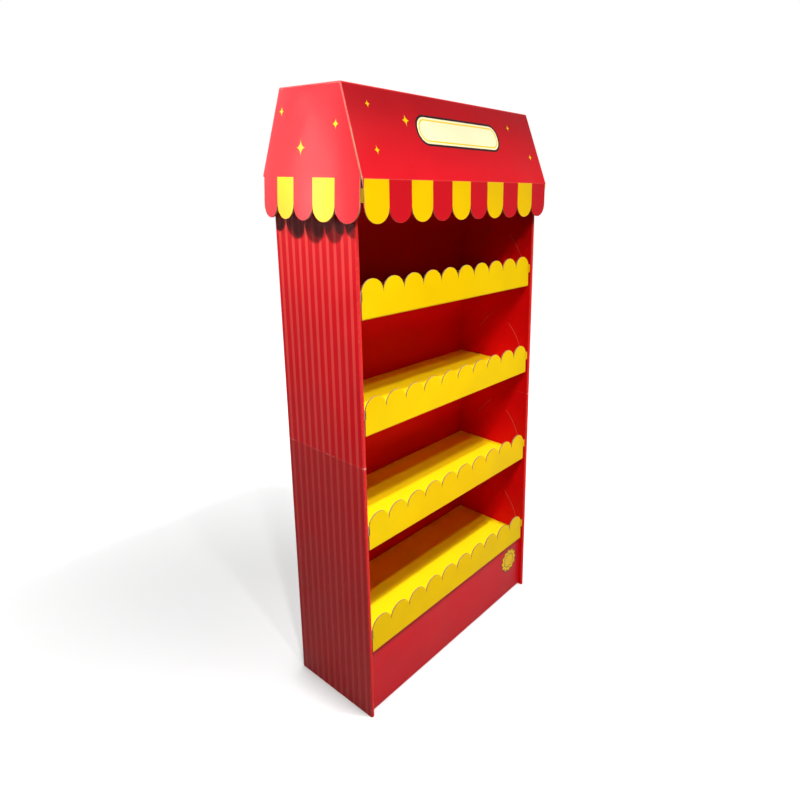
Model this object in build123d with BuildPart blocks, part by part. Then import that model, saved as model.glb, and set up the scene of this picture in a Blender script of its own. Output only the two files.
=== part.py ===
"""A floor standing display stand of printed corrugated board, folded and slotted together.

Millimetres. X runs to the right, Y to the back and Z up, seen from the front.
The origin is on the floor, in the middle of the stand.
"""
import os
from math import atan2, copysign, pi, tan

from build123d import *

# The board, and how it bends
board = 3.0  # thickness of one sheet
crease = 1.6  # radius of a fold, at the middle of the sheet
hairline = 0.3  # gap between two plies that lie flat on each other, folded or glued
play = 0.5  # what a piece slipped between two others is short of them
slot_play = 1.0  # what a slot is wider than its tab

# The carcass: a back and two doubled side walls, in two halves
stand_width = 600.0
stand_depth = 254.0
seam_height = 613.0  # where the upper half stands on the lower one
spine = 8.0  # width of the folded front edge of a side wall
back_flap = 30.0  # the outer ply is glued to the back by a flap this wide

# The cards that key the two halves, inside the hollow of the side walls
card_thickness = 1.6
card_depth = 200.0
card_height = 80.0

# The header: a roof with an awning edge, and two bowed gables
fold_height = 1190.0  # where the awning edge hangs from the roof
roof_rise = 171.0
roof_run = 62.0  # how far each slope goes back over that rise
overhang = 28.0  # how far the header stands out, front and back
roof_reach = 3.0  # how far the ends of the roof stand out past the side walls
awning_drop = 82.0
awning_setback = 3.0  # the awning edges stop short of each corner
front_scallops = 10
side_scallops = 5
scallop_notch = 0.8  # flat between two scallops, where they meet
gable_bow = 15.0  # how far a gable bulges between its corners, at the fold and below
gable_bow_top = 8.0  # and along the top of the roof
gable_flare = 5.0  # how far the foot of a gable's awning edge swings out
glue_flap = 28.0  # width of a gable's flaps, glued under the roof
corner_tab_top = 17.0  # below the fold
corner_tab_height = 26.0
corner_tab_length = 24.0

# The shelf trays, each with a scalloped lip along the front
lip_bottoms = (160.0, 416.0, 677.0, 920.0)
lip_height = 81.0
lip_setback = 6.0  # behind the front edges of the side walls
lip_end_gap = 6.0  # from the end of a lip to the side wall
tray_scallops = 10
floor_above_lip = 21.0  # top of a shelf, above the bottom of its lip
lip_tab_bottom = 37.0  # above the bottom of the lip
lip_tab_height = 21.0
floor_tab_width = 40.0
floor_tab_places = (-60.0, 60.0)  # along the depth
tab_reach = 4.5  # how far a tab enters a side wall

# The curved slits in the side walls, three points of each, in depth and above the lip's bottom
slit_width = 2.5
rear_slit = ((48.0, 102.0), (26.0, 129.0), (1.0, 151.0))
front_slit = ((-54.0, 131.0), (-80.0, 100.0), (-98.0, 60.0))

# The plinth: the box that closes the foot and carries the lowest shelf
plinth_top_flap = 60.0
plinth_side_flap = 45.0

# Worked out from the sizes above
half_width = stand_width / 2
half_depth = stand_depth / 2
bay_half_width = half_width - spine
bay_back = half_depth - 2 * board - hairline - play  # the back has glued flaps behind it
roof_half_width = half_width + roof_reach
roof_half_depth = half_depth + overhang
roof_top = fold_height + roof_rise
awning_foot = fold_height - awning_drop
tray_half_width = bay_half_width - play
lip_half_width = bay_half_width - lip_end_gap
lip_line = -half_depth + lip_setback + board / 2  # middle of the lip, seen from the side
turn_line = lip_line + board + hairline  # middle of the ply folded flat behind it
plinth_line = turn_line + board + play  # middle of the plinth's front
flange_front = plinth_line + board / 2 + play


def mirrored(points):
    """A symmetrical outline: these points, then their mirror images in reverse order."""
    return [*points, *[(-across, up) for across, up in reversed(points)]]


def on_side(sign, near, far):
    """From near to far, measured outwards from the middle to the left (-1) or right (1)."""
    return sorted((sign * near, sign * far))


def block(x_range, y_range, z_range, mode=Mode.ADD):
    """A plain box between these limits, added to the open part or cut from it."""
    limits = (x_range, y_range, z_range)
    with Locations(tuple((low + high) / 2 for low, high in limits)):
        Box(*[high - low for low, high in limits], mode=mode)


def scallops(count, pitch, base, tip):
    """A field from base to a scalloped edge whose scallops end at tip, in the open sketch."""
    radius = (pitch - scallop_notch) / 2
    centres = tip - copysign(radius, tip - base)
    with Locations((0, (base + centres) / 2)):
        Rectangle(count * pitch, abs(centres - base))
    with Locations((0, centres)):
        with GridLocations(pitch, pitch, count, 1):
            Circle(radius)


def roof_slope(inset):
    """Foot and head of the front slope seen from the side, moved into the board by inset."""
    turn = atan2(roof_run, roof_rise)  # from the upright awning edge to the slope
    foot = (-roof_half_depth + inset, fold_height - inset * tan(turn / 2))
    head = (-roof_half_depth + roof_run + inset * tan(pi / 4 - turn / 2), roof_top - inset)
    return foot, head


def under_roof(inset):
    """Everything below the roof, this far in from its outside, as a sketch seen from the side."""
    foot, head = roof_slope(inset)
    with BuildSketch(Plane.YZ) as room:
        with BuildLine():
            Polyline(*mirrored([(foot[0], 0), foot, head]), close=True)
        make_face()
    return room.sketch


def tab_sections(lip_bottom):
    """Depth and level, from and to, of each tab that hooks a tray into a side wall."""
    tab_bottom = lip_bottom + lip_tab_bottom
    sections = [((lip_line - board / 2, lip_line + board / 2), (tab_bottom, tab_bottom + lip_tab_height))]
    floor_top = lip_bottom + floor_above_lip
    for place in floor_tab_places:
        ends = (place - floor_tab_width / 2, place + floor_tab_width / 2)
        sections.append((ends, (floor_top - board, floor_top)))
    return sections


def slot(sign, depth, level):
    """Cuts the slot in a side wall's inner ply for a tab that stands on its lower edge."""
    block(
        on_side(sign, bay_half_width - hairline, bay_half_width + board + hairline),
        (depth[0] - slot_play / 2, depth[1] + slot_play / 2),
        (level[0], level[1] + slot_play),
        mode=Mode.SUBTRACT,
    )


def curved_slit(sign, points, lip_bottom):
    """The outline of one slit, on the inner face of a side wall."""
    with BuildSketch(Plane.YZ.offset(sign * bay_half_width)) as slit:
        with BuildLine():
            ThreePointArc(*[(across, lip_bottom + up) for across, up in points])
        trace(line_width=slit_width)
    return slit.sketch


def carcass(bottom, top, name):
    """Outer plies, front spines, inner plies and the back between them, folded from one sheet."""
    front = -half_depth + board / 2
    flap = half_depth - board / 2
    back = flap - board - hairline
    outer = half_width - board / 2
    inner = bay_half_width + board / 2
    left_wall = [
        (-outer + back_flap, flap),
        (-outer, flap),
        (-outer, front),
        (-inner, front),
        (-inner, back),
    ]
    with BuildPart() as half:
        with BuildSketch(Plane.XY.offset(bottom)):
            with BuildLine():
                FilletPolyline(*mirrored(left_wall), radius=crease)
            trace(line_width=board)
        extrude(amount=top - bottom)
        extrude(under_roof(2 * (board + hairline)), amount=half_width, both=True, mode=Mode.INTERSECT)
        for lip_bottom in [level for level in lip_bottoms if bottom <= level < top]:
            for sign in (-1, 1):
                for depth, level in tab_sections(lip_bottom):
                    slot(sign, depth, level)
                for points in (rear_slit, front_slit):
                    slit = curved_slit(sign, points, lip_bottom)
                    extrude(slit, amount=sign * (board + hairline), mode=Mode.SUBTRACT)
    half.part.label = name
    return half


def joint_card(sign, name):
    """A card in the hollow of one side wall, half of it in each half of the carcass."""
    with BuildPart() as card:
        with BuildSketch(Plane.YZ.offset(sign * (half_width - spine / 2))):
            with Locations((0, seam_height)):
                Rectangle(card_depth, card_height)
        extrude(amount=card_thickness / 2, both=True)
    card.part.label = name
    return card


def header_roof():
    """Awning edge, front slope, top and back slope, folded from one sheet."""
    foot, head = roof_slope(board / 2)
    awning_half_width = roof_half_width - awning_setback
    tab_top = fold_height - corner_tab_top
    with BuildPart() as roof:
        with BuildSketch(Plane.YZ.offset(-roof_half_width)):
            with BuildLine():
                FilletPolyline((foot[0], awning_foot), *mirrored([foot, head]), radius=crease)
            trace(line_width=board)
        extrude(amount=2 * roof_half_width)
        with BuildSketch(Plane.XZ):
            with Locations((0, fold_height)):
                Rectangle(2 * roof_half_width, roof_rise, align=(Align.CENTER, Align.MIN))
            scallops(front_scallops, 2 * awning_half_width / front_scallops, fold_height, awning_foot)
        extrude(amount=roof_half_depth, both=True, mode=Mode.INTERSECT)
        for sign in (-1, 1):
            block(
                on_side(sign, awning_half_width - board, awning_half_width),
                (foot[0], foot[0] + corner_tab_length),
                (tab_top - corner_tab_height, tab_top),
            )
    roof.part.label = "header_roof"
    return roof


def gable_plan(sign, level, reach, half_length, bow, inset):
    """Plan of a gable at one level: bowed on the outside and as deep as its glue flaps."""
    outside = sign * (reach - inset)
    flap_end = sign * (roof_half_width - glue_flap - inset)
    with BuildSketch(Plane.XY.offset(level)) as plan:
        with BuildLine():
            ThreePointArc((outside, -half_length), (outside + sign * bow, 0), (outside, half_length))
            Polyline(
                (outside, half_length),
                (flap_end, half_length),
                (flap_end, -half_length),
                (outside, -half_length),
            )
        make_face()
    return plan.sketch


def gable_plans(sign, inset):
    """The plans of a gable at the foot of its awning edge, at the fold and at the roof's top."""
    top_half_length = roof_half_depth - roof_run
    return (
        gable_plan(sign, awning_foot, roof_half_width + gable_flare, roof_half_depth, gable_bow, inset),
        gable_plan(sign, fold_height, roof_half_width, roof_half_depth, gable_bow, inset),
        gable_plan(sign, roof_top, roof_half_width, top_half_length, gable_bow_top, inset),
    )


def header_gable(sign, name):
    """A bowed gable with its awning edge, and three flaps glued under the roof."""
    awning_half_depth = roof_half_depth - 2 * board - hairline  # level with the glue flaps
    with BuildPart() as hollow:
        foot, fold, top = gable_plans(sign, board)
        loft([foot, fold], ruled=True)
        loft([fold, top], ruled=True)
        extrude(under_roof(2 * board + hairline), amount=stand_width, both=True, mode=Mode.INTERSECT)
    with BuildPart() as gable:
        foot, fold, top = gable_plans(sign, 0)
        loft([foot, fold], ruled=True)
        loft([fold, top], ruled=True)
        extrude(under_roof(board + hairline), amount=stand_width, both=True, mode=Mode.INTERSECT)
        add(hollow.part, mode=Mode.SUBTRACT)
        with BuildSketch(Plane.YZ):
            with Locations((0, fold_height)):
                Rectangle(2 * roof_half_depth, roof_rise, align=(Align.CENTER, Align.MIN))
            scallops(side_scallops, 2 * awning_half_depth / side_scallops, fold_height, awning_foot)
        extrude(amount=stand_width, both=True, mode=Mode.INTERSECT)
    gable.part.label = name
    return gable


def shelf_tray(lip_bottom, name):
    """Back flange, floor, folded front and scalloped lip, with hooks and flanges at the ends."""
    floor = lip_bottom + floor_above_lip - board / 2
    back = bay_back - board / 2
    flange_foot = lip_bottom + board
    lip_top = lip_bottom + lip_height
    with BuildPart() as tray:
        with BuildSketch(Plane.YZ.offset(-tray_half_width)):
            with BuildLine():
                FilletPolyline(
                    (back, flange_foot),
                    (back, floor),
                    (turn_line, floor),
                    (turn_line, lip_bottom + board / 2),
                    (lip_line, lip_bottom + board / 2),
                    (lip_line, lip_top),
                    radius=crease,
                )
            trace(line_width=board)
        extrude(amount=2 * tray_half_width)
        with BuildSketch(Plane.XZ):
            with Locations((0, lip_bottom)):
                Rectangle(2 * tray_half_width, floor_above_lip, align=(Align.CENTER, Align.MIN))
            scallops(tray_scallops, 2 * lip_half_width / tray_scallops, lip_bottom, lip_top)
        extrude(amount=half_depth, both=True, mode=Mode.INTERSECT)
        for sign in (-1, 1):
            block(
                on_side(sign, lip_half_width, bay_half_width),
                (-half_depth, turn_line + board / 2),
                (lip_bottom, lip_top),
                mode=Mode.SUBTRACT,
            )
            block(
                on_side(sign, tray_half_width - board, tray_half_width),
                (flange_front, back - board / 2 - play),
                (flange_foot, floor),
            )
            for depth, level in tab_sections(lip_bottom):
                block(on_side(sign, lip_half_width - board, bay_half_width + tab_reach), depth, level)
    tray.part.label = name
    return tray


def plinth():
    """Bottom, front and top flap from one sheet, with a flap folded back at each end."""
    lip_bottom = lip_bottoms[0]
    top = lip_bottom + floor_above_lip - board
    with BuildPart() as foot:
        with BuildSketch(Plane.YZ.offset(-tray_half_width)):
            with BuildLine():
                FilletPolyline(
                    (bay_back, board / 2),
                    (plinth_line, board / 2),
                    (plinth_line, top - board / 2),
                    (plinth_line + plinth_top_flap, top - board / 2),
                    radius=crease,
                )
            trace(line_width=board)
        extrude(amount=2 * tray_half_width)
        for sign in (-1, 1):
            block(
                on_side(sign, tray_half_width - board, tray_half_width),
                (plinth_line, plinth_line + plinth_side_flap),
                (board + play, top - board - play),
            )
            block(  # room for the end flanges of the lowest tray
                on_side(sign, tray_half_width - board - play, tray_half_width),
                (plinth_line + board / 2, bay_back),
                (lip_bottom + board - play, top),
                mode=Mode.SUBTRACT,
            )
    foot.part.label = "plinth"
    return foot


os.makedirs("parts", exist_ok=True)

pieces = [
    carcass(0, seam_height, "lower_carcass"),
    carcass(seam_height, roof_top, "upper_carcass"),
    joint_card(-1, "joint_card_left"),
    joint_card(1, "joint_card_right"),
    plinth(),
    *[shelf_tray(level, f"shelf_tray_{number}") for number, level in enumerate(lip_bottoms, start=1)],
    header_roof(),
    header_gable(-1, "header_gable_left"),
    header_gable(1, "header_gable_right"),
]

for piece in pieces:
    export_step(piece.part, f"parts/{piece.part.label}.step")
    print(piece.part.label, round(piece.part.volume / 1000), "cm3", len(piece.part.solids()), "solid")
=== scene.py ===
import math

import bmesh
import bpy
from mathutils import Matrix, Vector


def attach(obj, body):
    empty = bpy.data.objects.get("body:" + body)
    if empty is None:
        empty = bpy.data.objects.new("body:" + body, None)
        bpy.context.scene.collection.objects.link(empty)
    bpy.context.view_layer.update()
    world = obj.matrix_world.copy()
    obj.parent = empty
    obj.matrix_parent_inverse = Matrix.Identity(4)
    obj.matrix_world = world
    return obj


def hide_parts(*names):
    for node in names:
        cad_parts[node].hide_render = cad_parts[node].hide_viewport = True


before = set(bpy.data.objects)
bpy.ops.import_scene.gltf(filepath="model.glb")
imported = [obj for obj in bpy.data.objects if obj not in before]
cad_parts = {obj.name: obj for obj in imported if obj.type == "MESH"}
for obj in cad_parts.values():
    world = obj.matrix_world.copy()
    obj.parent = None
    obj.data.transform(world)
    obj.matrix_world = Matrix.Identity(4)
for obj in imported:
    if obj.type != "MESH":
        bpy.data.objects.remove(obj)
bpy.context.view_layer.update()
mm = 0.001
print("frame loaded")

# camera
camera = {
    "place": (-1.045475, -1.018765, 1.185782),
    "yaw": 54.188,  # from +Y towards +X
    "pitch": -13.122,
    "roll": 1.346,
    "lens": 27.10,
    "sensor": 36.0,
    "shift": (-0.135, -0.094),
    "nearest": 0.05,
}


def makeCamera(look):
    lens = bpy.data.cameras.new("standCamera")
    lens.lens = look["lens"]
    lens.sensor_width = look["sensor"]
    lens.shift_x, lens.shift_y = look["shift"]
    lens.clip_start = look["nearest"]
    eye = bpy.data.objects.new("standCamera", lens)
    bpy.context.scene.collection.objects.link(eye)
    yaw, pitch, roll = (math.radians(look[k]) for k in ("yaw", "pitch", "roll"))
    level = math.cos(pitch)
    forward = Vector((math.sin(yaw) * level, math.cos(yaw) * level, math.sin(pitch)))
    right = Vector((math.cos(yaw), -math.sin(yaw), 0))
    up = right.cross(forward)
    tiltedRight = right * math.cos(roll) + up * math.sin(roll)
    tiltedUp = up * math.cos(roll) - right * math.sin(roll)
    turn = eye.matrix_world.to_3x3()
    turn.col[0], turn.col[1], turn.col[2] = tiltedRight, tiltedUp, -forward
    eye.matrix_world = turn.to_4x4()
    eye.location = look["place"]
    bpy.context.scene.camera = eye


makeCamera(camera)
bpy.context.scene.view_settings.view_transform = "Standard"


# node helpers
def addNode(tree, kind, outlet=0, settings=None, **inlets):
    # inlets go by name, or by number as in0, in1 and so on
    node = tree.nodes.new(kind)
    for key, value in (settings or {}).items():
        setattr(node, key, value)
    for key, value in inlets.items():
        numbered = key.startswith("in") and key[2:].isdigit()
        inlet = node.inputs[int(key[2:]) if numbered else key.replace("_", " ")]
        if isinstance(value, bpy.types.NodeSocket):
            tree.links.new(value, inlet)
        else:
            inlet.default_value = value
    return node.outputs[outlet]


def calc(tree, operation, a, b=0.0):
    return addNode(tree, "ShaderNodeMath", settings={"operation": operation}, in0=a, in1=b)


def fade(tree, value, low, high, start=0.0, end=1.0):
    # start below low, end above high, smooth between them
    return addNode(tree, "ShaderNodeMapRange", settings={"interpolation_type": "SMOOTHSTEP"},
                   in0=value, in1=low, in2=high, in3=start, in4=end)


def below(tree, value, edge, blur):
    # 1 where value is under the edge, 0 above it
    return fade(tree, value, edge - blur, edge + blur, 1.0, 0.0)


def distance(tree, a, b):
    return calc(tree, "ABSOLUTE", calc(tree, "SUBTRACT", a, b))


def blendColour(tree, factor, under, over):
    return addNode(tree, "ShaderNodeMix", outlet=2, settings={"data_type": "RGBA"},
                   in0=factor, in6=under, in7=over)


def multiplyVectors(tree, a, b):
    return addNode(tree, "ShaderNodeVectorMath", settings={"operation": "MULTIPLY"}, in0=a, in1=b)


def noiseAt(tree, place, scale, detail=2.0, roughness=0.5):
    return addNode(tree, "ShaderNodeTexNoise", in0=place, Scale=scale, Detail=detail, Roughness=roughness)


def seenDirectly(tree):
    # 1 for what the camera, a reflection or glass sees, 0 for light that bounces
    path = tree.nodes.new("ShaderNodeLightPath")
    mirrored = calc(tree, "MAXIMUM", path.outputs["Is Glossy Ray"], path.outputs["Is Transmission Ray"])
    return calc(tree, "MAXIMUM", path.outputs["Is Camera Ray"], mirrored)


def linearValue(value):
    return ((value / 255 + 0.055) / 1.055) ** 2.4 if value > 10 else value / 255 / 12.92


def colourOf(red, green, blue):
    # screen values from 0 to 255
    return (linearValue(red), linearValue(green), linearValue(blue), 1.0)


def startMaterial(name):
    # a new material, its tree, the place in the frame, and that place's x, y and z
    material = bpy.data.materials.new(name)
    material.use_nodes = True
    tree = material.node_tree
    tree.nodes.clear()
    place = addNode(tree, "ShaderNodeTexCoord", outlet=3)
    parts = tree.nodes.new("ShaderNodeSeparateXYZ")
    tree.links.new(place, parts.inputs[0])
    return material, tree, place, parts.outputs[0], parts.outputs[1], parts.outputs[2]


def endTree(tree, shader, kind="ShaderNodeOutputMaterial"):
    tree.links.new(shader, tree.nodes.new(kind).inputs[0])


# print, board and card
ink = {
    "red": colourOf(206, 18, 30),
    # painted shade: the darker red laid over the lower half of the outer walls
    "lowerShadeRed": colourOf(120, 40, 40),
    "ridgeShadeRed": colourOf(170, 8, 20),  # painted shade: the slope's red darkens towards the ridge, where the lamps light it less
    "redStripe": colourOf(224, 66, 60),
    # painted light: the bays' red is brighter than the outer red, to light the dim bays
    "bayRed": colourOf(226, 8, 14),
    "yellow": colourOf(245, 198, 0),
    "cream": colourOf(250, 236, 190),
    "dark": colourOf(44, 20, 20),
    "paper": colourOf(232, 196, 178),
    "stretched": colourOf(236, 92, 84),  # red print on a fold, paler where the board is stretched, and lighter again as a painted highlight on the rounded fold
    "edgeRed": colourOf(214, 60, 66),  # ink that has run onto a cut edge
    # painted light: slit faces lightened, as a raised torn edge catching light
    "slit": colourOf(222, 96, 84),
    # a paler yellow for slow patches, and painted light on faces turned up
    "paleAndLitYellow": colourOf(255, 228, 18),
    "kraft": colourOf(168, 132, 98),
    "kraftDark": colourOf(118, 88, 62),
}
board = {
    "thickness": 3 * mm,
    "flute": 6.5 * mm,  # from one flute to the next
    "washboard": 0.025 * mm,  # how deep the flutes show in the print
    "waviness": 5 * mm,  # how strongly a panel's light wanders
    "gloss": (0.32, 0.41),  # roughness of the lacquer, at its smoothest and dullest
    "foldPaleAndHighlight": 0.22,  # how much the print lightens on a fold: stretched board and a painted highlight
    "scuff": 0.1,  # how much of the ink is worn off folds and cut edges
    "softness": 0.35 * mm,  # rounding of a cut edge
    "mottle": (0.965, 1.0),  # fine light and dark of the ink
    "cloud": (-0.03, 0.03),  # its slow light and dark
    "mottleScale": 420.0,
    "cloudScale": 9.0,
    "chipScale": 260.0,
    "bendScale": 7.0,
}
shine = {"carcass": 0.045, "gable": 0.3, "slope": 0.08, "plinth": 0.1, "tray": 0.04}  # strength of the gloss
rawFace = {
    "fibreScale": 900.0,
    "fibreStretch": (1.0, 1.0, 0.35),
    "blotchScale": 40.0,
    "edgeFlutes": 0.35,  # how dark the flutes are in a cut edge
    "sideFlutes": 0.08,
    "smearScale": 22.0,
    "ridge": 1.355,  # metres up, where ink covers the edge
}
noiseRange = (0.3, 0.7)  # where nearly all of a noise's values lie


def printShader(tree, place, flutes, colour, piece):
    # lacquered print: mottled ink, worn folds with a painted highlight, flutes that show through and a panel
    # that isn't quite flat
    mottle = noiseAt(tree, place, board["mottleScale"], 3.0)
    cloud = noiseAt(tree, place, board["cloudScale"])
    shade = calc(tree, "ADD", fade(tree, mottle, *noiseRange, *board["mottle"]),
                 fade(tree, cloud, *noiseRange, *board["cloud"]))
    shades = addNode(tree, "ShaderNodeCombineXYZ", in0=shade, in1=shade, in2=shade)
    inked = multiplyVectors(tree, colour, shades)
    wear = addNode(tree, "ShaderNodeAttribute", outlet=2, settings={"attribute_name": "wear"})
    worn = calc(tree, "POWER", wear, 3.0)
    chips = fade(tree, noiseAt(tree, place, board["chipScale"], 4.0, 0.65), 0.54, 0.70)
    rubbed = calc(tree, "MULTIPLY", calc(tree, "MULTIPLY", worn, chips), board["scuff"])
    # folds lighten towards pale pink: stretched print, and a painted highlight along the rounded fold; not
    # on the trays
    if piece != "tray":
        inked = blendColour(tree, calc(tree, "MULTIPLY", worn, board["foldPaleAndHighlight"]), inked, ink["stretched"])
    surface = blendColour(tree, rubbed, inked, ink["paper"])
    wave = calc(tree, "SINE", calc(tree, "MULTIPLY", flutes, 2 * math.pi / board["flute"]))
    ripple = addNode(tree, "ShaderNodeBump", in0=0.6, in1=board["washboard"], Height=wave)
    slow = noiseAt(tree, place, board["bendScale"], 1.0)
    panel = addNode(tree, "ShaderNodeBump", in0=0.8, in1=board["waviness"], Height=slow, Normal=ripple)
    grain = addNode(tree, "ShaderNodeBump", in0=0.25, in1=0.02 * mm, Height=mottle, Normal=panel)
    roughness = calc(tree, "ADD", fade(tree, cloud, *noiseRange, *board["gloss"]),
                     calc(tree, "MULTIPLY", rubbed, 0.4))
    shader = addNode(tree, "ShaderNodeBsdfPrincipled", Base_Color=surface, Roughness=roughness, Normal=grain,
                     Specular_IOR_Level=shine[piece])
    endTree(tree, shader)


def rawBoard(name, seen, inked=0.0):
    # the cut edge of the board, its unprinted side or a slit; ink rubs onto the edges of the roof
    material, tree, place, x, y, z = startMaterial(name)
    stretched = multiplyVectors(tree, place, rawFace["fibreStretch"])
    fibres = noiseAt(tree, stretched, rawFace["fibreScale"], 4.0, 0.7)
    blotch = noiseAt(tree, place, rawFace["blotchScale"])
    rise = calc(tree, "MULTIPLY", z, 0.0 if seen == "side" else 1.0)
    along = calc(tree, "ADD", calc(tree, "ADD", x, y), rise)
    wave = calc(tree, "SINE", calc(tree, "MULTIPLY", along, 4 * math.pi / board["flute"]))
    flute = fade(tree, wave, -0.2, 0.9, 0.0, rawFace["edgeFlutes" if seen == "edge" else "sideFlutes"])
    tone = blendColour(tree, calc(tree, "MULTIPLY", fibres, 0.5), ink["kraft"], ink["kraftDark"])
    tone = blendColour(tree, flute, tone, ink["kraftDark"])
    tone = blendColour(tree, fade(tree, blotch, 0.4, 0.8, 0.0, 0.15), tone, ink["paper"])
    if inked:
        smear = fade(tree, noiseAt(tree, place, rawFace["smearScale"], 3.0), 0.42, 0.6, 0.25 * inked, inked)
        onRidge = calc(tree, "GREATER_THAN", z, rawFace["ridge"])
        behind = calc(tree, "GREATER_THAN", y, 0.0)
        covered = calc(tree, "MAXIMUM", smear, calc(tree, "MAXIMUM", onRidge, behind))
        tone = blendColour(tree, covered, tone, ink["edgeRed"])
    # painted light: the slit's shaded faces are lightened towards pale pink, over the raw board
    if seen == "slit":
        tone = blendColour(tree, fade(tree, fibres, *noiseRange, 0.7, 1.0), tone, ink["slit"])
    rough = addNode(tree, "ShaderNodeBump", in0=0.5, in1=0.08 * mm, Height=fibres)
    endTree(tree, addNode(tree, "ShaderNodeBsdfPrincipled", Base_Color=tone, Roughness=0.85, Normal=rough))
    return material


rawEdge = rawBoard("cutBoardEdge", "edge")
rawSide = rawBoard("unprintedSide", "side")
roofEdge = rawBoard("inkedRoofEdge", "edge", inked=0.9)
slitFace = rawBoard("slitFace", "slit")

# red print of the carcass
wallStripes = {
    "pitch": 22.1 * mm,
    "halfWidth": 4.2 * mm,
    "blur": 1.3 * mm,
    "centre": 1.5 * mm,
    "reach": 121.5 * mm,  # the stripes stop before the front edge
    "outside": 0.2985,  # metres from the middle, past which a wall is an outer one
}
seamMarks = {
    "height": 0.613,
    "lowerShade": 0.3,  # painted shade: the lower half is drawn darker, as its tilt catches less light
    "fray": 0.2,  # how pale the frayed spots along the seam are
    "frayReach": (0.5 * mm, 2.2 * mm),
    "inBays": 0.2,  # how much of that shows inside
    "nick": 0.7,  # how pale the nick in the front edge is
    "nickReach": (1.0 * mm, 3.0 * mm),
    "frontEdge": -0.1262,
}
wholeTurns = 100.0  # keeps a count of stripes above zero


def carcassPrint():
    material, tree, place, x, y, z = startMaterial("carcassPrint")
    s, marks = wallStripes, seamMarks
    turns = calc(tree, "DIVIDE", calc(tree, "SUBTRACT", y, s["centre"]), s["pitch"])
    phase = calc(tree, "FRACT", calc(tree, "ADD", turns, wholeTurns + 0.5))
    offCentre = calc(tree, "MULTIPLY", distance(tree, phase, 0.5), s["pitch"])
    stripe = below(tree, offCentre, s["halfWidth"], s["blur"])
    within = calc(tree, "LESS_THAN", distance(tree, y, s["centre"]), s["reach"])
    outside = calc(tree, "GREATER_THAN", calc(tree, "ABSOLUTE", x), s["outside"])
    mask = calc(tree, "MULTIPLY", calc(tree, "MULTIPLY", stripe, within), outside)
    # painted light: inside the bays the red is brighter than outside
    colour = blendColour(tree, mask, blendColour(tree, outside, ink["bayRed"], ink["red"]), ink["redStripe"])
    # painted shade: below the seam the outer walls are drawn darker
    shadedBelow = calc(tree, "MULTIPLY", calc(tree, "LESS_THAN", z, marks["height"]), outside)
    colour = blendColour(tree, calc(tree, "MULTIPLY", shadedBelow, marks["lowerShade"]), colour, ink["lowerShadeRed"])
    gap = distance(tree, z, marks["height"])
    spots = fade(tree, noiseAt(tree, place, 55.0, 3.0, 0.6), 0.5, 0.62)
    pale = calc(tree, "MULTIPLY", spots, fade(tree, outside, 0.0, 1.0, marks["inBays"], 1.0))
    frays = calc(tree, "MULTIPLY", fade(tree, gap, *marks["frayReach"], marks["fray"], 0.0), pale)
    nick = calc(tree, "MULTIPLY", fade(tree, gap, *marks["nickReach"], marks["nick"], 0.0),
                calc(tree, "LESS_THAN", y, marks["frontEdge"]))
    colour = blendColour(tree, calc(tree, "MAXIMUM", frays, nick), colour, ink["paper"])
    printShader(tree, place, calc(tree, "ADD", x, y), colour, "carcass")
    return material


# ornaments of the header and the plinth
sparkles = {
    # across, up, half width, half height, in millimetres
    "slope": ((-244, 145, 7.5, 9), (-154, 122, 11, 15), (-250, 56, 8, 11),
              (195, 137, 7, 9), (262, 67, 8, 10)),
    "gable": ((79, 125, 9, 11), (-86, 96, 9, 11), (8, 55, 16, 18)),
}
signPlate = {
    "centre": (8, 106),
    "half": (138, 33),
    "round": 30,
    "blur": 0.4,
    # how far in each ring begins, and its ink
    "rings": ((0, "dark"), (5, "cream"), (9, "yellow"), (12, "cream")),
}
burst = {
    "centre": (239, 108),
    "radius": 38,
    "points": 12,
    "depth": 0.2,
    "blur": 0.012,
    # each ring's share of the radius, and its ink
    "rings": ((1.0, "dark"), (0.91, "yellow"), (0.62, "dark"), (0.57, "yellow")),
}
awning = {
    "fold": 1190 * mm,
    # half the edge's length, its bars, and how many red ones come first
    "stripes": {"slope": (300 * mm, 10, 0), "gable": (148.7 * mm, 5, 1)},
    "darkening": 0.17,  # metres over the fold where the slope's painted shade is darkest
    "slopeLength": 1.0637,  # length along the slope for each metre of height
    "front": -0.05,  # the front slope lies before this
}


def starMask(tree, across, up, star):
    # a sparkle with four drawn-in points
    side = calc(tree, "SQRT", calc(tree, "DIVIDE", distance(tree, across, star[0] * mm), star[2] * mm))
    tall = calc(tree, "SQRT", calc(tree, "DIVIDE", distance(tree, up, star[1] * mm), star[3] * mm))
    return below(tree, calc(tree, "ADD", side, tall), 0.99, 0.06)


def plateDistance(tree, across, up, plate):
    # distance outside a rounded plate, in metres
    squares = []
    for value, centre, half in zip((across, up), plate["centre"], plate["half"]):
        offset = distance(tree, value, centre * mm)
        side = calc(tree, "MAXIMUM", calc(tree, "SUBTRACT", offset, (half - plate["round"]) * mm), 0.0)
        squares.append(calc(tree, "MULTIPLY", side, side))
    return calc(tree, "SUBTRACT", calc(tree, "SQRT", calc(tree, "ADD", *squares)), plate["round"] * mm)


def awningBars(tree, along, half, count, shift):
    # 1 on the yellow bars of an awning edge
    pitch = 2 * half / count
    turns = calc(tree, "DIVIDE", calc(tree, "ADD", along, half + shift * pitch), 2 * pitch)
    return calc(tree, "LESS_THAN", calc(tree, "FRACT", calc(tree, "ADD", turns, wholeTurns)), 0.5)


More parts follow.
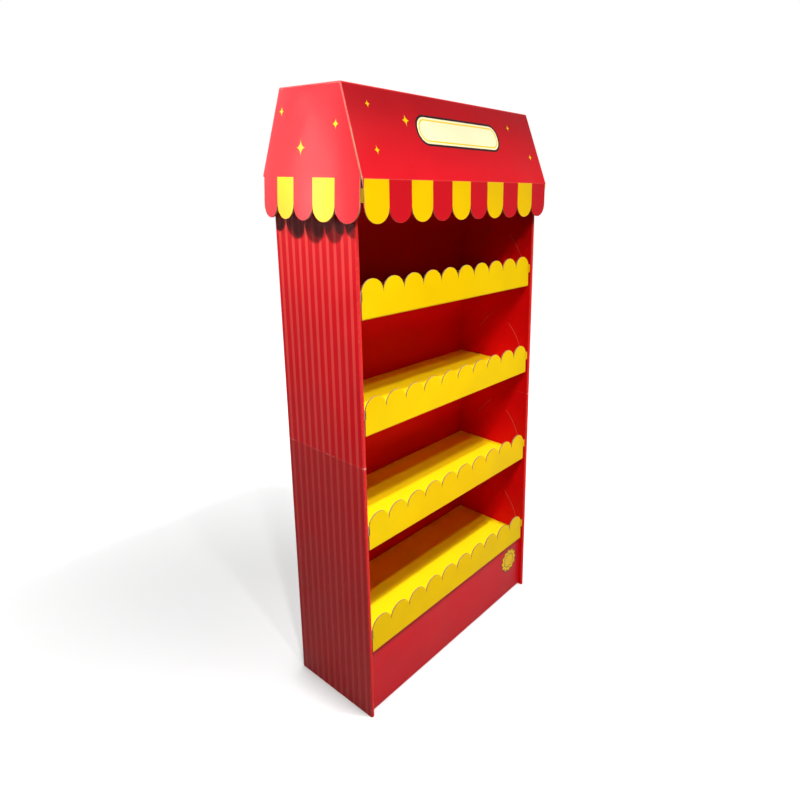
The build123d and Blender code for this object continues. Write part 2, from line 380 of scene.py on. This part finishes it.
def headerPrint(panel):
    material, tree, place, x, y, z = startMaterial(panel + "Print")
    rise = calc(tree, "SUBTRACT", z, awning["fold"])
    onSlope = panel == "slope"
    across = x if onSlope else y
    up = calc(tree, "MULTIPLY", rise, awning["slopeLength"]) if onSlope else rise
    yellow = awningBars(tree, across, *awning["stripes"][panel])
    # on the slope the ridge ink is painted shade; on the gable it is the plain red
    ridgePrintAndShade = ink["ridgeShadeRed" if onSlope else "red"]
    colour = blendColour(tree, fade(tree, rise, 0.0, awning["darkening"]), ink["red"], ridgePrintAndShade)
    stars = 0.0
    for star in sparkles[panel]:
        stars = calc(tree, "MAXIMUM", stars, starMask(tree, across, up, star))
    if onSlope:
        front = calc(tree, "LESS_THAN", y, awning["front"])
        stars = calc(tree, "MULTIPLY", stars, front)
        outside = plateDistance(tree, across, up, signPlate)
        for inset, tone in signPlate["rings"]:
            ring = below(tree, outside, -inset * mm, signPlate["blur"] * mm)
            colour = blendColour(tree, calc(tree, "MULTIPLY", ring, front), colour, ink[tone])
    colour = blendColour(tree, stars, colour, ink["yellow"])
    edging = blendColour(tree, yellow, ink["red"], ink["yellow"])
    colour = blendColour(tree, calc(tree, "LESS_THAN", rise, 0.0), colour, edging)
    printShader(tree, place, across, colour, panel)
    return material


def plinthPrint():
    material, tree, place, x, _, z = startMaterial("plinthPrint")
    dx = calc(tree, "SUBTRACT", x, burst["centre"][0] * mm)
    dz = calc(tree, "SUBTRACT", z, burst["centre"][1] * mm)
    angle = calc(tree, "ARCTAN2", dz, dx)
    spikes = calc(tree, "PINGPONG", calc(tree, "MULTIPLY", angle, burst["points"] / math.pi), 1.0)
    reach = calc(tree, "SUBTRACT", 1.0, calc(tree, "MULTIPLY", spikes, burst["depth"]))
    squares = calc(tree, "ADD", calc(tree, "MULTIPLY", dx, dx), calc(tree, "MULTIPLY", dz, dz))
    outline = calc(tree, "MULTIPLY", reach, burst["radius"] * mm)
    ratio = calc(tree, "DIVIDE", calc(tree, "SQRT", squares), outline)
    colour = ink["red"]
    for share, tone in burst["rings"]:
        colour = blendColour(tree, below(tree, ratio, share, burst["blur"]), colour, ink[tone])
    printShader(tree, place, x, colour, "plinth")
    return material


def trayPrint():
    # the yellow is paler in slow patches, and paler again where the board faces up, as painted light from
    # the lamps above
    material, tree, place, x, *_ = startMaterial("trayPrint")
    facing = addNode(tree, "ShaderNodeNewGeometry", outlet=1)
    upLit = addNode(tree, "ShaderNodeSeparateXYZ", outlet=2, in0=facing)
    patches = fade(tree, noiseAt(tree, place, 3.0), 0.35, 0.65, 0.0, 0.25)
    colour = blendColour(tree, patches, ink["yellow"], ink["paleAndLitYellow"])
    # painted light: faces turned up take the paler yellow
    colour = blendColour(tree, fade(tree, upLit, 0.5, 0.9), colour, ink["paleAndLitYellow"])
    printShader(tree, place, x, colour, "tray")
    return material


def plainCard():
    material, tree, place, *_ = startMaterial("plainCard")
    tone = blendColour(tree, noiseAt(tree, place, 300.0, 3.0), ink["kraft"], ink["kraftDark"])
    endTree(tree, addNode(tree, "ShaderNodeBsdfPrincipled", Base_Color=tone, Roughness=0.8))
    return material


wallInk = carcassPrint()
slopeInk = headerPrint("slope")
gableInk = headerPrint("gable")
plinthInk = plinthPrint()
trayInk = trayPrint()
print("materials ready")


# folding a sheet
def split(start, end, step):
    # points from start to end, the end left out, no further apart than step
    count = max(1, math.ceil((end - start).length / step))
    return [start.lerp(end, i / count) for i in range(count)]


def panelPoints(here, end, lead, step):
    # unworn points between two creases, where the panel is wide enough for them
    if (end - here).length <= 3 * lead:
        return []
    into = (end - here).normalized()
    near, far = here + into * lead, end - into * lead
    return [(point, 0.0) for point in (*split(near, far, step), far)]


def foldLine(corners, radius=1.6, lead=2.5, step=30.0, bend=0.4):
    # the sheet's middle line in millimetres, with a crease at every corner, as (point, wear)
    corners = [Vector(c) for c in corners]
    here = corners[0]
    line = [(here, 1.0)]
    for before, corner, after in zip(corners, corners[1:], corners[2:]):
        into, out = (corner - before).normalized(), (after - corner).normalized()
        turn = into.angle_signed(out)
        reach = radius * math.tan(abs(turn) / 2)
        start, end = corner - into * reach, corner + out * reach
        line += panelPoints(here, start, lead, step)
        side = Vector((-into.y, into.x)) * (1 if turn < 0 else -1)
        centre = start + side * radius
        steps = max(2, round(abs(turn) / bend))
        for i in range(steps + 1):
            spoke = start - centre
            spoke.rotate(Matrix.Rotation(-turn * i / steps, 2))
            line.append((centre + spoke, 1.0))
        here = end
    line += panelPoints(here, corners[-1], lead, step)
    line.append((corners[-1], 1.0))
    return line


# from grids of points to board
def addGrid(shape, rows, wears, flip=False, side=0):
    # rows of points on the board's middle, in millimetres, joined into one surface
    layer = shape.verts.layers.float["wear"]
    grid = []
    for row, wearRow in zip(rows, wears):
        grid.append([])
        for point, wear in zip(row, wearRow):
            vert = shape.verts.new(Vector(point) * mm)
            vert[layer] = wear
            grid[-1].append(vert)
    for low, high in zip(grid, grid[1:]):
        for a, b, c, d in zip(low, low[1:], high[1:], high):
            shape.faces.new((a, b, c, d) if flip else (d, c, b, a)).material_index = side


def newShape():
    shape = bmesh.new()
    shape.verts.layers.float.new("wear")
    return shape


def addFlat(shape, corner, sideA, sideB, flip=False, side=0):
    # a small flat flap or tab, worn at its edges
    corner, sideA, sideB = Vector(corner), Vector(sideA), Vector(sideB)
    marks = [(0.0, 1.0), (0.15, 0.0), (0.85, 0.0), (1.0, 1.0)]
    rows = [[corner + sideA * a + sideB * b for b, _ in marks] for a, _ in marks]
    addGrid(shape, rows, [[max(u, v) for _, v in marks] for _, u in marks], flip, side)


def boardPiece(node, shape, coats, holes=None):
    # thickens the surface to board with a raw rim, cuts its holes and sets it in the frame
    name = node + "Board"
    bmesh.ops.remove_doubles(shape, verts=shape.verts, dist=0.02 * mm)
    mesh = bpy.data.meshes.new(name)
    shape.to_mesh(mesh)
    shape.free()
    piece = bpy.data.objects.new(name, mesh)
    bpy.context.scene.collection.objects.link(piece)
    for coat in coats:
        mesh.materials.append(coat)
    thick = piece.modifiers.new("thickness", "SOLIDIFY")
    thick.thickness, thick.offset = board["thickness"], 0.0
    thick.use_even_offset = thick.use_quality_normals = True
    thick.material_offset, thick.material_offset_rim = 1, 2
    if holes:
        cut = piece.modifiers.new("holes", "BOOLEAN")
        cut.operation, cut.solver, cut.object = "DIFFERENCE", "EXACT", holes
    soft = piece.modifiers.new("softEdges", "BEVEL")
    soft.width, soft.segments = board["softness"], 1
    soft.limit_method, soft.angle_limit = "ANGLE", math.radians(70)
    finished = bpy.data.meshes.new_from_object(piece.evaluated_get(bpy.context.evaluated_depsgraph_get()))
    piece.modifiers.clear()
    piece.data = finished
    finished.shade_smooth()
    finished.set_sharp_from_angle(angle=math.radians(32))
    if holes:
        bpy.data.objects.remove(holes)
    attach(piece, "root")
    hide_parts(node)
    print(name, len(finished.polygons), "faces")


def foldedSheet(shape, line, across, place, cut=None, flip=False):
    # sweeps the folded middle line across the sheet; the first panel may end in a cut outline
    length, lengths = 0.0, [0.0]
    for (a, _), (b, _) in zip(line, line[1:]):
        length += (b - a).length
        lengths.append(length)
    firstBend = next(i for i in range(2, len(line)) if line[i][1] > 0)
    panel = lengths[firstBend]

    def pointAt(s):
        i = next((k for k in range(1, len(lengths)) if lengths[k] >= s - 1e-6), len(lengths) - 1)
        t = (s - lengths[i - 1]) / (lengths[i] - lengths[i - 1])
        return line[i - 1][0].lerp(line[i][0], t)

    rows, wears = [], []
    for i, (s, (_, wear)) in enumerate(zip(lengths, line)):
        rows.append([])
        for where, _ in across:
            depth = cut(where) if cut else 0.0
            shifted = depth + s * (panel - depth) / panel if s < panel else s
            rows[-1].append(place(pointAt(shifted), where, i < firstBend - 1))
        wears.append([max(wear, edge) for _, edge in across])
    addGrid(shape, rows, wears, flip)


def evenStops(low, high, step, lead=2.5):
    # places across a sheet, worn at both ends
    inside = high - low - 2 * lead
    count = max(1, math.ceil(inside / step))
    inner = [(low + lead + inside * i / count, 0.0) for i in range(count + 1)]
    return [(low, 1.0), *inner, (high, 1.0)]


notchWidth = 0.8  # millimetres, between two scallops where they meet


def scallopStops(half, count, steps=14):
    # places along a scalloped edge, closer together towards each notch
    pitch = 2 * half / count
    radius = (pitch - notchWidth) / 2
    middles = [-half + pitch * (k + 0.5) for k in range(count)]
    inner = [(m - radius * math.cos(math.pi * i / steps), 0.0) for m in middles for i in range(steps + 1)]
    return [(-half, 1.0), *inner, (half, 1.0)]


def scallopDepth(half, count):
    # how far the outline is from the tips of its scallops
    pitch = 2 * half / count
    radius = (pitch - notchWidth) / 2

    def depth(where):
        offset = (where + half) % pitch - pitch / 2
        return radius - math.sqrt(max(0.0, radius ** 2 - min(abs(offset), radius) ** 2))
    return depth


# sizes shared by the pieces, in millimetres
stand = {
    "half": 300.0,
    "front": -127.0,
    "back": 127.0,
    "spine": 8.0,
    "seam": 613.0,
    "fold": 1190.0,
    "top": 1361.0,
    "lipBottoms": (160.0, 416.0, 677.0, 920.0),
    "floorAbove": 21.0,  # from the bottom of a lip up to its shelf
    "roofFront": 155.0,
    "roofRun": 62.0,
    "roofTaper": 9.0,
    "hairline": 0.3,
    "play": 0.5,
}
sheet = 3.0  # the board
skin = 1.5  # from its middle to its face
bayHalf = stand["half"] - stand["spine"]
trayHalf = bayHalf - stand["play"]
lipHalf = bayHalf - 2 * sheet
lipLine = stand["front"] + 2 * sheet + skin
turnLine = lipLine + sheet + stand["hairline"]
plinthLine = turnLine + sheet + stand["play"]
bayBack = stand["back"] - 2 * sheet - stand["hairline"] - stand["play"]
slope = math.atan2(stand["roofRun"], stand["top"] - stand["fold"])  # the roof's lean from upright


def roofPoint(inset):
    # foot and head of the front slope's board, moved inwards
    front = -stand["roofFront"]
    foot = (front + inset, stand["fold"] - inset * math.tan(slope / 2))
    head = (front + stand["roofRun"] + inset * math.tan(math.pi / 4 - slope / 2), stand["top"] - inset)
    return foot, head


def taperAt(z):
    # how far each end of the header has drawn in at this height
    return stand["roofTaper"] * max(0.0, (z - stand["fold"]) / (stand["top"] - stand["fold"]))


# carcass
carcass = {
    "flap": 30.0,  # each back flap's width
    "shapedFrom": 1230.0,  # above this the top follows the roof
    "roofGap": 7.6,  # from the roof's outside to the carcass's top
    "rows": 45.0,  # from one row of points to the next
}
carcassCuts = {
    "tabPlaces": (-60.0, 60.0),
    "tabWidth": 41.0,
    "tabHeight": 4.0,
    "lipTab": (37.0, 22.0),
    "lipTabWidth": 4.0,
    "slits": (((48.0, 102.0), (26.0, 129.0), (1.0, 151.0)), ((-54.0, 131.0), (-80.0, 100.0), (-98.0, 60.0))),
    "slitWidth": 1.5,
    "slitDepth": 0.7,
    "overrun": 0.6,  # how far a cutter stands out of the board
}


def addCutter(shape, low, high):
    size = [(b - a) * mm for a, b in zip(low, high)]
    middle = [(a + b) / 2 * mm for a, b in zip(low, high)]
    made = bmesh.ops.create_cube(shape, size=1.0)
    for vert in made["verts"]:
        vert.co = Vector([m + c * s for m, c, s in zip(middle, vert.co, size)])


def arcThrough(a, b, c, steps=10):
    # points of the arc through three points, each with its way outwards
    a, b, c = Vector(a), Vector(b), Vector(c)
    aa, bb, cc = a.length_squared, b.length_squared, c.length_squared
    d = 2 * (a.x * (b.y - c.y) + b.x * (c.y - a.y) + c.x * (a.y - b.y))
    x = (aa * (b.y - c.y) + bb * (c.y - a.y) + cc * (a.y - b.y)) / d
    y = (aa * (c.x - b.x) + bb * (a.x - c.x) + cc * (b.x - a.x)) / d
    centre = Vector((x, y))
    sweep = (a - centre).angle_signed(c - centre)
    points = []
    for i in range(steps + 1):
        spoke = a - centre
        spoke.rotate(Matrix.Rotation(-sweep * i / steps, 2))
        points.append((centre + spoke, spoke.normalized()))
    return points


def addSlit(shape, side, base, points):
    near, far = side * (bayHalf - carcassCuts["overrun"]), side * (bayHalf + carcassCuts["slitDepth"])
    half = carcassCuts["slitWidth"] / 2
    rings = []
    for point, outward in arcThrough(*points):
        ring = []
        for depth, offset in ((near, -half), (near, half), (far, half), (far, -half)):
            where = point + outward * offset
            ring.append(shape.verts.new(Vector((depth, where.x, where.y + base)) * mm))
        rings.append(ring)
    for one, two in zip(rings, rings[1:]):
        for i in range(4):
            j = (i + 1) % 4
            shape.faces.new((one[i], one[j], two[j], two[i])).material_index = 3
    shape.faces.new(rings[0][::-1])
    shape.faces.new(rings[-1])


def carcassHoles(lips, coats):
    shape = bmesh.new()
    c = carcassCuts
    for side in (-1, 1):
        near, far = sorted((side * (bayHalf - c["overrun"]), side * (bayHalf + sheet + c["overrun"])))
        for base in lips:
            low = base + stand["floorAbove"] - sheet
            for place in c["tabPlaces"]:
                start, end = place - c["tabWidth"] / 2, place + c["tabWidth"] / 2
                addCutter(shape, (near, start, low), (far, end, low + c["tabHeight"]))
            tab, tall = base + c["lipTab"][0], c["lipTab"][1]
            start, end = lipLine - c["lipTabWidth"] / 2, lipLine + c["lipTabWidth"] / 2
            addCutter(shape, (near, start, tab), (far, end, tab + tall))
            for points in c["slits"]:
                addSlit(shape, side, base, points)
    bmesh.ops.recalc_face_normals(shape, faces=shape.faces)
    mesh = bpy.data.meshes.new("holes")
    for coat in coats:
        mesh.materials.append(coat)
    for face in shape.faces:
        face.material_index = max(face.material_index, 2)
    shape.to_mesh(mesh)
    shape.free()
    holes = bpy.data.objects.new("holes", mesh)
    bpy.context.scene.collection.objects.link(holes)
    return holes


def carcassHalf(node, low, high, underRoof):
    outer, inner = stand["half"] - skin, bayHalf + skin
    front, flap = stand["front"] + skin, stand["back"] - skin
    back = flap - sheet - stand["hairline"]
    left = [(-outer + carcass["flap"], flap), (-outer, flap), (-outer, front), (-inner, front),
            (-inner, back)]
    line = foldLine(left + [(-x, y) for x, y in reversed(left)])
    foot, head = roofPoint(carcass["roofGap"])
    start = carcass["shapedFrom"]

    def place(point, z, _):
        if underRoof and z > start:
            depth = abs(point.y)
            roof = head[1] if depth < -head[0] else foot[1] + (abs(foot[0]) - depth) / math.tan(slope)
            z = start + (z - start) * (min(head[1], roof) - start) / (high - start)
        return point.x * (1 - taperAt(z) / stand["half"]), point.y, z

    shape = newShape()
    foldedSheet(shape, line, evenStops(low, high, carcass["rows"]), place)
    coats = (wallInk, rawSide, rawEdge, slitFace)
    lips = [z for z in stand["lipBottoms"] if low <= z < high]
    boardPiece(node, shape, coats, carcassHoles(lips, coats))


carcassHalf("lower_carcass", 0.0, stand["seam"], False)
carcassHalf("upper_carcass", stand["seam"], stand["top"], True)

# trays
tray = {
    "lipHeight": 81.0,
    "scallops": 10,
    "ear": (37.0, 21.0, 12.5),  # height over the lip's bottom, tallness and length
    "tabPlaces": (-60.0, 60.0),
    "tabWidth": 40.0,
    "tabLength": 6.5,
    "tuck": 2.0,  # how far ears and tabs reach back into their panel
    "skirt": 3.0,  # from the lip's bottom up to the back and side flaps
}


def shelfTray(node, base):
    floor, back = base + stand["floorAbove"] - skin, bayBack - skin
    skirt = base + tray["skirt"]
    line = foldLine([(lipLine, base + tray["lipHeight"]), (lipLine, base + skin), (turnLine, base + skin),
                     (turnLine, floor), (back, floor), (back, skirt)])
    shape = newShape()

    def place(point, x, _):
        wide = trayHalf / lipHalf if point.x > turnLine + 2.5 else 1.0  # the floor is wider than the lip
        return x * wide, point.x, point.y

    count = tray["scallops"]
    foldedSheet(shape, line, scallopStops(lipHalf, count), place, scallopDepth(lipHalf, count))
    low, tall, ear = tray["ear"]
    flapFront = plinthLine + 2.5
    for side in (-1, 1):
        corner = (side * (lipHalf - tray["tuck"]), lipLine, base + low)
        rawOrInked = 2 if side < 0 else 0  # the left ears are raw board
        addFlat(shape, corner, (side * ear, 0, 0), (0, 0, tall), side=rawOrInked)
        for middle in tray["tabPlaces"]:
            corner = (side * (trayHalf - tray["tuck"]), middle - tray["tabWidth"] / 2, floor)
            addFlat(shape, corner, (side * tray["tabLength"], 0, 0), (0, tray["tabWidth"], 0))
        corner = (side * (trayHalf - skin), flapFront, skirt)
        addFlat(shape, corner, (0, back - 2.5 - flapFront, 0), (0, 0, floor - skirt))
    boardPiece(node, shape, (trayInk, trayInk, rawEdge))


for number, base in enumerate(stand["lipBottoms"], start=1):
    shelfTray(f"shelf_tray_{number}", base)

# plinth
plinth = {
    "topFlap": 60.0,
    "sideFlap": (43.0, 154.0),
    "flapFoot": 4.0,
    "narrower": 4.0,  # each end of the top flap is cut back by this
    "rows": 40.0,
}


def plinthBox():
    top = stand["lipBottoms"][0] + stand["floorAbove"] - sheet - skin
    line = foldLine([(bayBack, skin), (plinthLine, skin), (plinthLine, top),
                     (plinthLine + plinth["topFlap"], top)])
    shape = newShape()

    def place(point, x, _):
        onTop = point.x > plinthLine + 2.5 and point.y > 20
        narrow = (trayHalf - plinth["narrower"]) / trayHalf if onTop else 1.0
        return x * narrow, point.x, point.y

    foldedSheet(shape, line, evenStops(-trayHalf, trayHalf, plinth["rows"]), place, flip=True)
    wide, tall = plinth["sideFlap"]
    for side in (-1, 1):
        corner = (side * (trayHalf - skin), plinthLine + skin, plinth["flapFoot"])
        addFlat(shape, corner, (0, wide, 0), (0, 0, tall))
    boardPiece("plinth", shape, (plinthInk, rawSide, rawEdge))


plinthBox()

# header
header = {
    "half": 303.0,
    "drop": 82.0,  # from the fold down to the tips of the scallops
    "frontHalf": 300.0,
    "frontScallops": 10,
    "sideHalf": 148.7,
    "sideScallops": 5,
    "bow": 15.0,  # how far each end bows out at the fold
    "bowTop": 8.0,
    "flare": 5.0,
    "flap": 28.0,
    "flapRows": 8,
    "tabTop": 17.0,
    "tab": (24.0, 26.0),
    "gableInset": 3.3,
    "flapInset": 4.8,
}


def roofHalf(z):
    # half the header's width, which narrows towards the ridge
    return header["half"] - taperAt(z)


def headerRoof():
    foot, head = roofPoint(skin)
    tips = stand["fold"] - header["drop"]
    line = foldLine([(foot[0], tips), foot, head, (-head[0], head[1]), (-foot[0], foot[1])])
    shape = newShape()
    half, count = header["frontHalf"], header["frontScallops"]

    def place(point, x, awningRow):
        wide = half if awningRow else roofHalf(point.y)
        return x * wide / half, point.x, point.y

    foldedSheet(shape, line, scallopStops(half, count), place, scallopDepth(half, count), flip=True)
    wide, tall = header["tab"]
    for side in (-1, 1):
        corner = (side * (half - skin), foot[0], stand["fold"] - header["tabTop"] - tall)
        addFlat(shape, corner, (0, wide, 0), (0, 0, tall), flip=side < 0)
    boardPiece("header_roof", shape, (slopeInk, rawSide, roofEdge))


def gableLevels(awningRows=4, roofRows=12, lead=2.5):
    # levels from the tips of the scallops to the roof, with their wear
    fold = stand["fold"]
    foot, top = fold - header["drop"], roofPoint(header["gableInset"])[1][1]
    middle = [(foot + 20 + 16 * i, 0.0) for i in range(awningRows)]
    lower = [(foot, 1.0), (foot + lead, 0.0), *middle, (fold, 0.0)]
    upper = [(fold + (top - fold) * i / roofRows, 0.0) for i in range(1, roofRows)]
    return [*lower, *upper, (top - lead, 0.0), (top, 0.6)]


def headerGable(side, node):
    half, count = header["sideHalf"], header["sideScallops"]
    depthAt = scallopDepth(half, count)
    tips, fold = stand["fold"] - header["drop"], stand["fold"]
    innerFoot, _ = roofPoint(header["gableInset"])
    shape = newShape()

    def reach(z, y):
        # the bowed outside of the gable at this level and depth
        share = max(0.0, (z - fold) / (stand["top"] - fold))
        bow = header["bow"] + (header["bowTop"] - header["bow"]) * share
        chord = stand["roofFront"] - stand["roofRun"] * share
        flare = header["flare"] * max(0.0, (fold - z) / header["drop"])
        return roofHalf(z) + flare + bow * (1 - (y / chord) ** 2)

    rows, wears = [], []
    for level, wear in gableLevels():
        row, wearRow = [], []
        for where, edge in scallopStops(half, count):
            z, y = level, where
            if level < fold:
                depth = depthAt(where)
                z = tips + depth + (level - tips) * (header["drop"] - depth) / header["drop"]
            elif level > fold:
                y = where / half * (-innerFoot[0] - (level - innerFoot[1]) * math.tan(slope))
            row.append((side * (reach(z, y) - skin), y, z))
            wearRow.append(max(wear, edge))
        rows.append(row)
        wears.append(wearRow)
    addGrid(shape, rows, wears, flip=side > 0)
    foot, head = (Vector(point) for point in roofPoint(header["flapInset"]))
    farHead, farFoot = Vector((-head.x, head.y)), Vector((-foot.x, foot.y))
    count = header["flapRows"]
    unworn = [0.0] * (count + 1)
    for start, end in ((foot, head), (head, farHead), (farHead, farFoot)):
        run = [start.lerp(end, i / count) for i in range(count + 1)]
        outer = [(side * (reach(p.y, p.x) - 2.0), p.x, p.y) for p in run]
        inner = [(side * (roofHalf(p.y) - header["flap"]), p.x, p.y) for p in run]
        addGrid(shape, [outer, inner], [unworn, unworn], flip=side > 0)
    boardPiece(node, shape, (gableInk, rawSide, rawEdge))


headerRoof()
headerGable(-1, "header_gable_left")
headerGable(1, "header_gable_right")

cardInk = plainCard()
for name in ("joint_card_left", "joint_card_right"):
    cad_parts[name].data.materials.clear()
    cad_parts[name].data.materials.append(cardInk)

# floor, lamps and world
studio = {
    "ambient": 0.008,  # light from all round
    "lamps": {
        # place, where it points, width and height, spread in degrees, power in watts
        "ceilingLampFar": ((-0.86, -1.09, 1.99), (-0.86, -1.09, 0), (0.06, 0.06), 145, 9.5),
        "ceilingLampNear": ((-0.73, -0.74, 1.78), (-0.73, -0.74, 0), (0.06, 0.06), 145, 8.5),
        "ceilingLampRight": ((0.3, -0.9, 2.0), (0.3, -0.9, 0), (0.12, 0.12), 120, 5.0),
        "highLampRight": ((0.5, -1.5, 3.6), (0.5, -1.5, 0), (0.12, 0.12), 120, 29.0),
        "highLampLeft": ((-0.6, -1.5, 3.6), (-0.6, -1.5, 0), (0.12, 0.12), 120, 18.0),
        "sideLamp": ((-0.75, 0.1, 1.95), (-0.3, 0, 1.15), (0.05, 0.05), 180, 21.0),
        "rearGlare": ((-1.25, 0.95, 1.25), (-0.3, 0, 1.2), (0.12, 0.7), 180, 6.0),
        "frontFill": ((0, -1.6, 0.3), (0, 0, 0.5), (0.5, 0.5), 60, 0.85),
        "backFill": ((0.6, 2.2, 1.6), (0, 0, 0.7), (1.2, 1.2), 180, 34.0),
        "rightFill": ((2.2, 0.2, 1.5), (0.3, 0, 0.7), (1.2, 1.2), 180, 34.0),
        "floorLamp": ((1.1, -2.1, 2.6), (-0.2, 0.4, 0), (2.4, 2.4), 180, 170.0),
    },
    "floorSize": 60,
    "floorBounce": (0.08, 0.08, 0.08, 1.0),  # how much light the floor gives back
    "floorShade": (0.42, 0.42, 0.42, 1.0),  # how much of its light and shadow the floor shows
    "floorGlow": (0.50, 1.0),  # white under that, by the stand and further off
    "contactShade": (0.09, 0.45, 0.95, 0.15, 1.0),  # painted contact shade: metres round the foot that darken, and how that fades
    "crease": (0.014, 0.45, 0.9, 0.2, 1.0),  # the same painted shade, close to the board's foot
    "shadowEnd": (0.5, 2.0),  # metres from the stand where its shadow starts to fade and is gone
}


def contactShadeAt(tree, reach, *fading):
    # painted contact shade: darkens the floor's glow within reach of the stand
    closed = addNode(tree, "ShaderNodeAmbientOcclusion", outlet=1, settings={"samples": 8}, Distance=reach)
    return fade(tree, closed, *fading)


def studioFloor():
    bpy.ops.mesh.primitive_plane_add(size=studio["floorSize"], location=(0, 0, 0))
    floor = bpy.context.object
    floor.name = "studioFloor"
    material, tree, place, *_ = startMaterial("studioFloor")
    away = addNode(tree, "ShaderNodeVectorMath", outlet=1, settings={"operation": "LENGTH"}, in0=place)
    bounce = addNode(tree, "ShaderNodeBsdfDiffuse", Color=studio["floorBounce"])
    shade = addNode(tree, "ShaderNodeBsdfDiffuse", Color=studio["floorShade"])
    contactShading = calc(tree, "MULTIPLY", contactShadeAt(tree, *studio["contactShade"]), contactShadeAt(tree, *studio["crease"]))
    strength = calc(tree, "MULTIPLY", contactShading, fade(tree, away, *studio["shadowEnd"], *studio["floorGlow"]))
    glow = addNode(tree, "ShaderNodeEmission", Color=(1, 1, 1, 1), Strength=strength)
    white = addNode(tree, "ShaderNodeAddShader", in0=shade, in1=glow)
    endTree(tree, addNode(tree, "ShaderNodeMixShader", in0=seenDirectly(tree), in1=bounce, in2=white))
    floor.data.materials.append(material)
    return floor


def addLamp(name, place, target, size, spread, power):
    lamp = bpy.data.lights.new(name, "AREA")
    lamp.shape, lamp.energy = "ELLIPSE", power
    lamp.size, lamp.size_y = size
    lamp.spread = math.radians(spread)
    holder = bpy.data.objects.new(name, lamp)
    bpy.context.scene.collection.objects.link(holder)
    holder.location = place
    holder.rotation_euler = (Vector(target) - Vector(place)).to_track_quat("-Z", "Y").to_euler()


def studioWorld():
    world = bpy.data.worlds.new("studioWorld")
    bpy.context.scene.world = world
    world.use_nodes = True
    tree = world.node_tree
    tree.nodes.clear()
    soft = addNode(tree, "ShaderNodeBackground", Color=(1, 1, 1, 1), Strength=studio["ambient"])
    white = addNode(tree, "ShaderNodeBackground", Color=(1, 1, 1, 1), Strength=1.0)
    mix = addNode(tree, "ShaderNodeMixShader", in0=seenDirectly(tree), in1=soft, in2=white)
    endTree(tree, mix, "ShaderNodeOutputWorld")


def lampGroup(name, floor):
    group = bpy.data.collections.new(name)
    group.objects.link(floor)
    return group


floor = studioFloor()
for name, lamp in studio["lamps"].items():
    addLamp(name, *lamp)
# the floor lamp draws the stand's shadow and lights nothing else
onlyFloor = lampGroup("onlyFloor", floor)
bpy.data.objects["floorLamp"].light_linking.receiver_collection = onlyFloor
# the fill lamps light the back and the right side, and leave the floor alone
notFloor = lampGroup("notFloor", floor)
notFloor.collection_objects[0].light_linking.link_state = "EXCLUDE"
for name in ("backFill", "rightFill"):
    bpy.data.objects[name].light_linking.receiver_collection = notFloor
    bpy.data.objects[name].visible_glossy = False
bpy.data.objects["rearGlare"].visible_diffuse = False  # it only glances off the bowed end
studioWorld()
print("studio ready")
